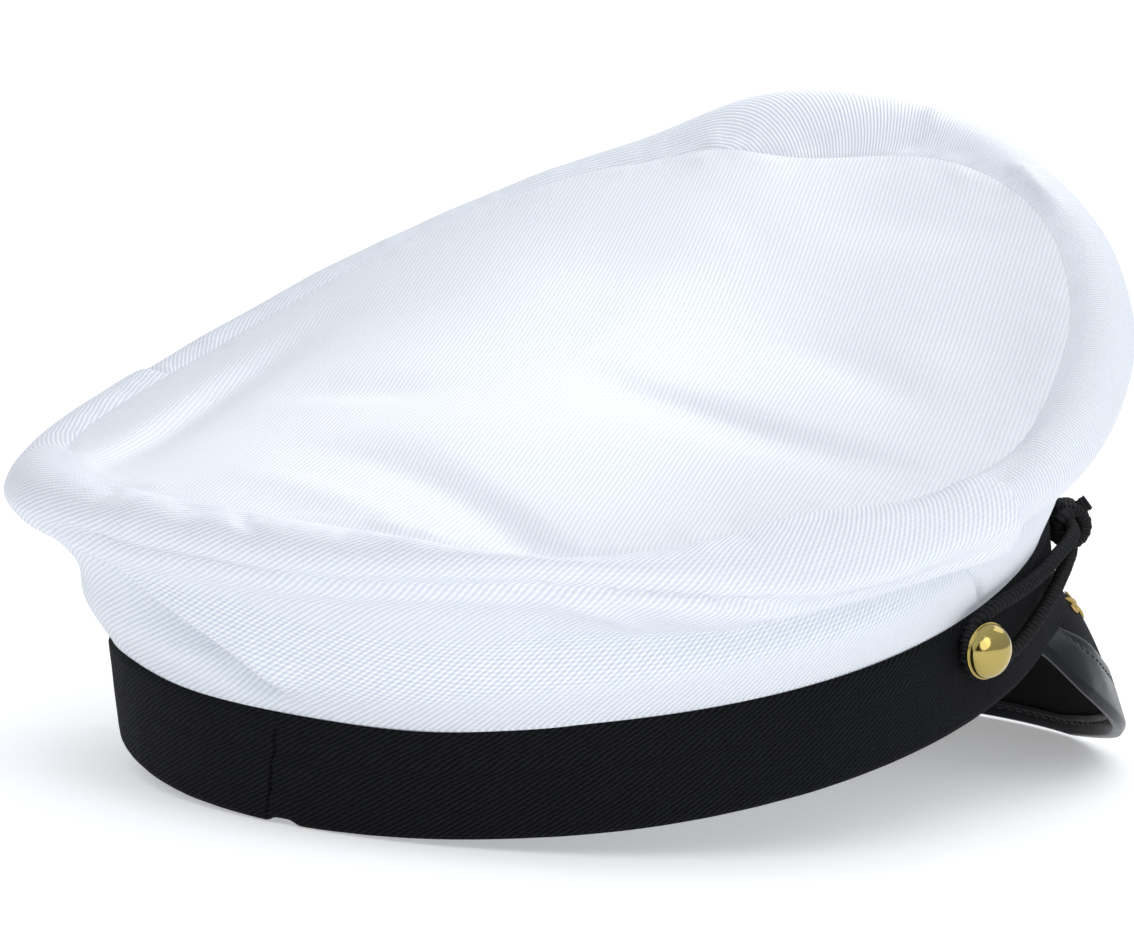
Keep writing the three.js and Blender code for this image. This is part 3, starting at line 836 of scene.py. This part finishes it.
# Wool fibres are 0.02 mm thick; the nap is drawn as tufts of 0.5 mm, so that they show.
nap = add_node(felt_tree, "TexNoise", {"Vector": felt_place, "Scale": 2 / mm, "Detail": 4.0})
felt_tone = add_node(felt_tree, "Mix", {
    "Factor": nap.outputs["Fac"], "A": colour("#060607"), "B": colour("#161618"),
}, data_type="RGBA")
felt_bump = add_node(felt_tree, "Bump", {
    "Strength": 0.6, "Distance": 0.15 * mm, "Height": nap.outputs["Fac"],
})
felt_tree.links.new(felt_tone.outputs[2], felt_shader.inputs["Base Color"])
felt_tree.links.new(felt_bump.outputs["Normal"], felt_shader.inputs["Normal"])

finish_piece(
    "felt_visor", lay_cloth(columns=140, rows=40, skin=visor_skin), black_felt,
    ["visor"], thickness=visor["thickness"])

# ---------------------------------------------------------------- visor binding
# A folded strip of glossy black vinyl round the visor's edge, sewn through with one row of
# stitches, so that it shows a line of them on either face.

# The widths of both faces, how far the strip stands off the felt, and where the stitches lie.
# Stitches and borders sink in a little.
binding = {
    "top_width": 12.5, "under_width": 6.2, "lift": 0.75, "wall": 0.5, "nose": 1.2, "end": 63.2,
    "inside": 1.2, "top_stitch": 9.6, "under_stitch": 4.2, "sink": 0.28, "sink_width": 0.7,
    "border": 0.25, "border_width": 0.5, "bend": 1.6, "eased": 1.5, "flat_reach": 120,
    "flat_width": 10,
}
binding_waves = [(0.12, 6, 3)]
wavy_from = 3                          # millimetres back from the fold, which is smooth
edge_reach = 95                        # the visor's edge, about, from the middle of the band


def edge_squareness(t):
    """How squarely the lines of one t cross the visor's edge: 1 at a right angle."""
    across = (visor_point(t, 1) - visor_point(t, 0)).normalized()
    along = (visor_point(t + slope_step, 1) - visor_point(t - slope_step, 1)).normalized()
    return across.cross(along).length


def binding_point(t, way):
    """A point of the binding's outer face: way runs from -1 at its upper border over the fold at
    0 to 1 at its border underneath."""
    lift = binding["lift"]
    bottom = -visor["thickness"] - lift
    room = visor_length(t) + binding["inside"]
    width = binding["top_width"] if way < 0 else binding["under_width"]
    width = min(width / edge_squareness(t), room)
    back = width * abs(way)
    level = smooth_share(back, 0, binding["nose"] * binding["bend"]) ** 0.5
    middle = (lift + bottom) / 2
    out = middle + ((lift if way < 0 else bottom) - middle) * level
    stitch = binding["top_stitch"] if way < 0 else binding["under_stitch"]
    from_stitches = back * edge_squareness(t) - stitch
    sink = binding["sink"] * bell(from_stitches, binding["sink_width"])
    sink += binding["border"] * bell(width - back, binding["border_width"])
    out += -sink if way < 0 else sink
    out += unevenness(t * edge_reach, back, binding_waves) * min(back / wavy_from, 1)
    return visor_over(t, 1 - back / visor_length(t), out)


def binding_skin(u, v):
    t = (2 * u - 1) * binding["end"] * degree
    way = 1 - 2 * v
    eased = math.copysign(abs(way) ** binding["eased"], way)
    return binding_point(t, eased), (t * binding["flat_reach"], way * binding["flat_width"])


# Plasticised vinyl on cloth: smooth and glossy, with a faint orange peel from its calender.
black_vinyl, vinyl_tree, vinyl_shader = new_material("glossy vinyl", {
    "Base Color": colour("#1C1E21"), "Roughness": 0.25, "IOR": 1.45, "Specular IOR Level": 0.05,
})
vinyl_place = add_node(vinyl_tree, "TexCoord").outputs["Object"]
# The orange peel has dimples 1.4 mm apart.
peel = add_node(vinyl_tree, "TexNoise", {"Vector": vinyl_place, "Scale": 0.7 / mm, "Detail": 2.0})
vinyl_bump = add_node(vinyl_tree, "Bump", {
    "Strength": 0.25, "Distance": 0.1 * mm, "Height": peel.outputs["Fac"],
})
vinyl_rough = add_node(vinyl_tree, "MapRange", {
    "Value": peel.outputs["Fac"], "To Min": 0.16, "To Max": 0.3,
})
vinyl_tree.links.new(vinyl_bump.outputs["Normal"], vinyl_shader.inputs["Normal"])
vinyl_tree.links.new(vinyl_rough.outputs["Result"], vinyl_shader.inputs["Roughness"])

finish_piece(
    "vinyl_binding", lay_cloth(columns=240, rows=56, skin=binding_skin), black_vinyl,
    ["visor_binding"], thickness=binding["wall"])

# The thread of the binding: waxed black polyester, one stitch every 3 mm.
stitch = {"pitch": 3.0, "length": 2.3, "radius": 0.32, "ends": 3, "inside": 1}
waxed_thread, thread_tree, thread_shader = new_material("waxed black thread", {
    "Roughness": 0.5, "IOR": 1.5,
})
thread_place = add_node(thread_tree, "TexCoord").outputs["Object"]
# Its strands are 0.1 mm thick; they are drawn 0.3 mm thick, so that they show.
strands = add_node(thread_tree, "TexNoise", {"Vector": thread_place, "Scale": 3 / mm})
thread_tone = add_node(thread_tree, "Mix", {
    "Factor": strands.outputs["Fac"], "A": colour("#060606"), "B": colour("#161617"),
}, data_type="RGBA")
thread_tree.links.new(thread_tone.outputs[2], thread_shader.inputs["Base Color"])


def lay_stitches(bm, line, pitch, length, radius, length_of):
    """Stitches along line(s), s from 0 to length_of millimetres: each a short flat bead."""
    for k in range(int(length_of / pitch)):
        middle = (k + 0.5) * pitch
        start, end = line(middle - length / 2), line(middle + length / 2)
        turned = (end - start).to_track_quat("X", "Z").to_matrix().to_4x4()
        shape = Matrix.Diagonal((length / 2, radius, radius, 1))
        bmesh.ops.create_uvsphere(
            bm, u_segments=6, v_segments=5, radius=1,
            matrix=Matrix.Translation((start + end) / 2) @ turned @ shape)


def even_line(point_at, steps):
    """The line through point_at(0..1) as a function of the distance along it, and its length."""
    points = [point_at(k / steps) for k in range(steps + 1)]
    far = [0]
    for a, b in zip(points, points[1:]):
        far.append(far[-1] + (b - a).length)

    def line(distance):
        wanted = min(max(distance, 0), far[-1])
        k = 0
        while k < steps - 1 and far[k + 1] < wanted:
            k += 1
        return points[k].lerp(points[k + 1], (wanted - far[k]) / (far[k + 1] - far[k]))

    return line, far[-1]


bm = bmesh.new()
for face, width, row in ((-1, "top_width", "top_stitch"), (1, "under_width", "under_stitch")):
    def row_point(share):
        t = (2 * share - 1) * (binding["end"] - stitch["ends"]) * degree
        room = visor_length(t) + binding["inside"]
        wide = min(binding[width] / edge_squareness(t), room)
        at = min(binding[row] / edge_squareness(t), wide - stitch["inside"])
        return binding_point(t, face * at / wide)

    line, far = even_line(row_point, steps=160)
    lay_stitches(bm, line, stitch["pitch"], stitch["length"], stitch["radius"], far)
finish_piece("binding_stitches", bm, waxed_thread)

# ---------------------------------------------------------------- leaf sprays
# Two sprays of leaves embroidered in gilt thread over padding, right and left on the visor:
# satin stitch across each leaf, with a groove for its midrib, and a corded stem.

# The stem runs between two angles and two shares of the visor's length. Leaves grow from it in
# pairs, smaller towards its tip, and one ends it.
spray = {
    "from": 5, "to": 44, "root": 0.42, "tip": 0.09, "pairs": 6, "leaf": 7.6, "half_width": 1.8,
    "spread": 36, "rise": 0.6, "stem": 0.6, "stem_end": 0.95, "stem_lift": 0.2, "first": 0.2,
    "smaller": 0.45, "end_at": 0.93, "end_size": 0.55, "padding": 0.25, "lowest": 0.15,
    "midrib": 0.35, "midrib_width": 0.28, "thread": 0.4, "flat_length": 60, "wall": 0.15,
}
# Gilt thread: metal wound round a core, with soft bright lines square to the leaf's length painted
# on as highlights along each thread, and darker gold between them as painted shade. The thread is
# 0.2 mm thick; it is drawn 0.4 mm thick, so that it shows.
gilt_thread, gilt_tree, gilt_shader = new_material("gilt thread", {
    "Metallic": 0.85, "Roughness": 0.38,
})
gilt_map = add_node(gilt_tree, "UVMap", uv_map="weave").outputs["UV"]
satin = add_node(gilt_tree, "TexWave", {
    "Vector": gilt_map, "Scale": math.pi / 10 / spray["thread"], "Distortion": 1.0,
}, bands_direction="X")
# Painted highlight and shade: bright gold along each thread, darker gold between the threads.
gilt_painted_glint_and_shade = add_node(gilt_tree, "Mix", {
    "Factor": satin.outputs["Fac"], "A": colour("#8A6A1E"), "B": colour("#E7C76A"),
}, data_type="RGBA")
gilt_bump = add_node(gilt_tree, "Bump", {
    "Strength": 1.0, "Distance": 0.12 * mm, "Height": satin.outputs["Fac"],
})
gilt_tree.links.new(gilt_painted_glint_and_shade.outputs[2], gilt_shader.inputs["Base Color"])
gilt_tree.links.new(gilt_bump.outputs["Normal"], gilt_shader.inputs["Normal"])


def spray_spot(side, along, across, ahead, lift):
    """A point over the visor beside the spray's stem: across and ahead in millimetres."""
    t = side * (spray["from"] + (spray["to"] - spray["from"]) * along) * degree
    v = spray["root"] + (spray["tip"] - spray["root"]) * along
    around = (visor_point(t + slope_step, v) - visor_point(t - slope_step, v)).length
    t += side * ahead * 2 * slope_step / around
    return visor_over(t, v + across / visor_length(t), lift)


def add_patch(bm, side, columns, rows, skin):
    """Add one patch of stitching to a spray, its face outwards on either side of the visor."""
    patch = lay_cloth(columns, rows, skin)
    if side > 0:
        bmesh.ops.reverse_faces(patch, faces=patch.faces)
    mesh = bpy.data.meshes.new("patch")
    patch.to_mesh(mesh)
    patch.free()
    bm.from_mesh(mesh)
    bpy.data.meshes.remove(mesh)


def lay_leaf(bm, side, along, lean, size):
    """A padded leaf that grows from the stem at that share of its length."""
    def skin(u, v):
        far = u * size
        half = spray["half_width"] * size / spray["leaf"] * math.sin(math.pi * u ** 0.8) ** 0.75
        away = (2 * v - 1) * half
        dome = 1 - (2 * v - 1) ** 2
        lift = spray["padding"] + spray["rise"] * dome * math.sin(math.pi * u ** 0.7) ** 0.5
        lift -= spray["midrib"] * bell(away, spray["midrib_width"]) * min(half, 1)
        ahead = far * math.cos(lean * degree) - away * math.sin(lean * degree)
        across = far * math.sin(lean * degree) + away * math.cos(lean * degree)
        spot = spray_spot(side, along, across, ahead, max(lift, spray["lowest"]))
        return spot, (far, away)

    add_patch(bm, side, columns=14, rows=8, skin=skin)


def lay_stem(bm, side):
    """The corded stem, a flat half round along the whole spray."""
    def skin(u, v):
        across = (2 * v - 1) * spray["stem"]
        lift = spray["stem_lift"] + spray["rise"] * (1 - (2 * v - 1) ** 2)
        spot = spray_spot(side, u * spray["stem_end"], across, 0, lift)
        return spot, (u * spray["flat_length"], across)

    add_patch(bm, side, columns=60, rows=4, skin=skin)


# The two sides of the hat: a positive angle lies on the wearer's right.
sides = [("right", 1), ("left", -1)]
for word, side in sides:
    bm = bmesh.new()
    bm.loops.layers.uv.new("weave")
    for k in range(spray["pairs"]):
        along = (k + spray["first"]) / spray["pairs"]
        size = spray["leaf"] * (1 - spray["smaller"] * along)
        for lean in (spray["spread"], -spray["spread"]):
            lay_leaf(bm, side, along, lean, size)
    lay_leaf(bm, side, spray["end_at"], 0, spray["leaf"] * spray["end_size"])
    lay_stem(bm, side)
    finish_piece(
        "gold_spray_" + word, bm, gilt_thread, ["leaf_spray_" + word],
        thickness=spray["wall"])

# ---------------------------------------------------------------- chin cord
# A round black cord, its braid wound with a cross thread so that it is ribbed. It runs round the
# band's front in two strands, through two sliding knots, and back round the buttons' shanks.
cord = {
    "radius": 1.55, "rib": 1.1, "rib_depth": 0.24, "rings": 2500, "sides": 12, "slope_step": 0.4,
    "yarn_share": 0.6,
}
# The cord's way over the wearer's right: the angle, the height over the band's lower edge, and how
# far out from the band. The other side mirrors it.
cord_rows = [
    (0, 15.6, 2.1), (14, 15.6, 2.1), (26, 15.0, 2.8), (34, 13.9, 4.8), (43, 13.9, 5.1),
    (51, 15.8, 3.4), (59, 17.6, 2.2), (68, 19.0, 2.1), (77, 20.2, 2.1), (86, 20.9, 2.0),
    (89.4, 20.0, 2.0), (91.0, 17.8, 2.0), (91.3, 14.6, 2.0), (90.4, 11.8, 2.0),
    (86.6, 10.2, 2.0), (79, 10.1, 2.1), (71, 11.4, 2.1), (63, 12.1, 2.1), (56, 11.6, 2.1),
    (50, 11.0, 2.8), (43, 10.5, 4.4), (34, 10.7, 4.5), (26, 11.2, 2.8), (14, 11.4, 2.1),
    (0, 11.4, 2.1),
]

# Braided black cord: matt yarn 0.66 mm thick, each winding a rounded rib, painted lighter on its
# crest and darker between the windings, as light and shade.
black_braid, braid_tree, braid_shader = new_material("black braided cord", {
    "Roughness": 0.7, "IOR": 1.5, "Specular IOR Level": 0.2,
})
braid_map = add_node(braid_tree, "UVMap", uv_map="weave").outputs["UV"]
yarn = add_node(braid_tree, "TexWave", {
    "Vector": braid_map, "Scale": math.pi / 10 / (cord["rib"] * cord["yarn_share"]),
    "Distortion": 0.6,
}, bands_direction="X")
# Painted light and shade: each winding lighter on its crest and darker in the gap between
# windings.
braid_painted_light_and_shade = add_node(braid_tree, "Mix", {
    "Factor": yarn.outputs["Fac"], "A": colour("#020202"), "B": colour("#202123"),
}, data_type="RGBA")
braid_bump = add_node(braid_tree, "Bump", {
    "Strength": 0.8, "Distance": 0.08 * mm, "Height": yarn.outputs["Fac"],
})
braid_tree.links.new(braid_painted_light_and_shade.outputs[2], braid_shader.inputs["Base Color"])
braid_tree.links.new(braid_bump.outputs["Normal"], braid_shader.inputs["Normal"])


def cord_skin(line, far, radius, rib_depth, closed):
    """The skin of a ribbed cord along line(distance): its section is square to the line, and it
    starts on the side away from the hat's middle."""
    def skin(u, v):
        at = u * far
        before, after = at - cord["slope_step"], at + cord["slope_step"]
        if closed:
            before, after = before % far, after % far
        else:
            before, after = max(before, 0), min(after, far)
        middle = line(at)
        along = (line(after) - line(before)).normalized()
        outward = Vector((middle.x, middle.y, 0)).normalized()
        up = along.cross(outward).normalized()
        outward = up.cross(along)
        a = -2 * math.pi * v
        wide = radius - rib_depth * (1 + math.cos(2 * math.pi * at / cord["rib"] + a))
        point = middle + outward * (wide * math.cos(a)) + up * (wide * math.sin(a))
        return point, (at, v * 2 * math.pi * radius)

    return skin


right_route = [on_hat(at * degree, proud, up) for at, up, proud in cord_rows]
left_route = [Vector((-p.x, p.y, p.z)) for p in reversed(right_route[1:-1])]
route = right_route + left_route
wrapped = [route[-1], *route, route[0], route[1]]


def route_point(share):
    return curve_point(wrapped, (1 + share * len(route)) / (len(wrapped) - 1))


cord_line, cord_far = even_line(route_point, steps=1600)
bm = lay_cloth(
    cord["rings"], cord["sides"],
    cord_skin(cord_line, cord_far, cord["radius"], cord["rib_depth"], True), closed=True)
bmesh.ops.recalc_face_normals(bm, faces=bm.faces)
finish_piece("braided_chin_cord", bm, black_braid, ["chin_cord"])

# ---------------------------------------------------------------- sliding knots
# Each knot is a short end of the same cord, wound three times round both strands, with its two
# cut ends left standing.
knot = {
    "at": 38.5, "height": 12.8, "proud": 5.2, "turns": 3, "pitch": 2.7, "tall": 3.1, "deep": 3.1,
    "radius": 1.7, "rib_depth": 0.08, "points": 8, "rings": 360,
}
# The two ends, from the knot outwards: how far out from its middle, and how far above its top.
knot_ends = [[(2.8, -0.4), (4.9, 0.7)], [(-1.6, 1.0), (-3.7, 2.4)]]
for word, side in sides:
    middle = on_hat(side * knot["at"] * degree, knot["proud"], knot["height"])
    outward = Vector((middle.x, middle.y, 0)).normalized()
    along = Vector((0, 0, 1)).cross(outward)
    coil = []
    steps = knot["turns"] * knot["points"]
    for k in range(1, steps):
        a = k / knot["points"] * 2 * math.pi + math.pi / 2
        forward = (k / steps - 0.5) * knot["turns"] * knot["pitch"]
        coil.append(
            middle + along * forward + outward * (knot["deep"] * math.cos(a))
            + Vector((0, 0, knot["tall"] * math.sin(a))))
    first, last = [
        [middle + outward * out + Vector((0, 0, knot["tall"] + up)) for out, up in end]
        for end in knot_ends]
    coil = [*reversed(first), *coil, *last]
    knot_line, knot_far = even_line(lambda share, coil=coil: curve_point(coil, share), 300)
    bm = lay_cloth(
        knot["rings"], cord["sides"],
        cord_skin(knot_line, knot_far, knot["radius"], knot["rib_depth"], False), closed=True)
    rings = [edge for edge in bm.edges if edge.is_boundary]
    bmesh.ops.holes_fill(bm, edges=rings)
    bmesh.ops.recalc_face_normals(bm, faces=bm.faces)
    finish_piece("cord_knot_" + word, bm, black_braid, ["knot_" + word])

# ---------------------------------------------------------------- buttons
# Two domed buttons stamped from brass sheet and polished, each with a turned edge, a flat back
# and a shank through the band.

# A button's place on the band, its size, how far its back stands off the band, how far it leans
# back, the roll of its edge, and the waist between that edge and the dome.
button = {
    "at": 89.2, "height": 15, "radius": 5.6, "rim": 0.6, "dome": 3.7, "shank": 1.0, "off": 4.0,
    "lean": 14, "sunk": 0.3, "roll": 0.3, "back": 0.5, "waist": 0.34, "waist_down": 0.06,
    "roll_steps": 6, "dome_steps": 18, "sides": 64,
}
slope_angle = 0.01                     # either way round the band, to find its slope
# Polished brass: a warm mirror, a little softened by handling.
brass, brass_tree, brass_shader = new_material("polished brass", {
    "Base Color": colour("#B2A05F"), "Metallic": 1.0, "Roughness": 0.12,
})
brass_place = add_node(brass_tree, "TexCoord").outputs["Object"]
# Marks of handling, about 1 mm across.
handling = add_node(brass_tree, "TexNoise", {
    "Vector": brass_place, "Scale": 0.9 / mm, "Detail": 3.0,
})
brass_rough = add_node(brass_tree, "MapRange", {
    "Value": handling.outputs["Fac"], "To Min": 0.05, "To Max": 0.2,
})
brass_tree.links.new(brass_rough.outputs["Result"], brass_shader.inputs["Roughness"])

for word, side in sides:
    t = side * button["at"] * degree
    along = on_hat(t + slope_angle, 0, 0) - on_hat(t - slope_angle, 0, 0)
    axis = along.cross(Vector((0, 0, 1))).normalized()
    if axis.dot(on_hat(t, 0, 0)) < 0:
        axis.negate()
    radius, off, roll = button["radius"], button["off"], button["roll"]
    shank, sunk, over = button["shank"], button["sunk"], off + button["rim"]
    profile = [(0, sunk), (shank, sunk), (shank, off), (radius - button["back"], off)]
    for k in range(button["roll_steps"] + 1):
        a = (k / button["roll_steps"] - 0.5) * math.pi
        profile.append((radius - roll + roll * math.cos(a), off + roll + roll * math.sin(a)))
    profile.append((radius - button["waist"], over - button["waist_down"]))
    for k in range(1, button["dome_steps"] + 1):
        a = k / button["dome_steps"] * math.pi / 2
        profile.append(((radius - roll) * math.cos(a), over + button["dome"] * math.sin(a)))
    bm = bmesh.new()
    verts = [bm.verts.new((x, 0, z)) for x, z in profile]
    edges = [bm.edges.new(pair) for pair in zip(verts, verts[1:])]
    bmesh.ops.spin(
        bm, geom=verts + edges, cent=(0, 0, 0), axis=(0, 0, 1), dvec=(0, 0, 0),
        angle=2 * math.pi, steps=button["sides"], use_merge=True)
    bmesh.ops.remove_doubles(bm, verts=bm.verts, dist=0.001)
    bmesh.ops.recalc_face_normals(bm, faces=bm.faces)
    head = on_hat(t, 0, button["height"]) + axis * over
    axis.rotate(Matrix.Rotation(-side * button["lean"] * degree, 3, "Z"))
    foot = head - axis * over
    stand = Matrix.Translation(foot) @ axis.to_track_quat("Z", "Y").to_matrix().to_4x4()
    bmesh.ops.transform(bm, matrix=stand, verts=bm.verts)
    finish_piece("brass_button_" + word, bm, brass, ["button_" + word])
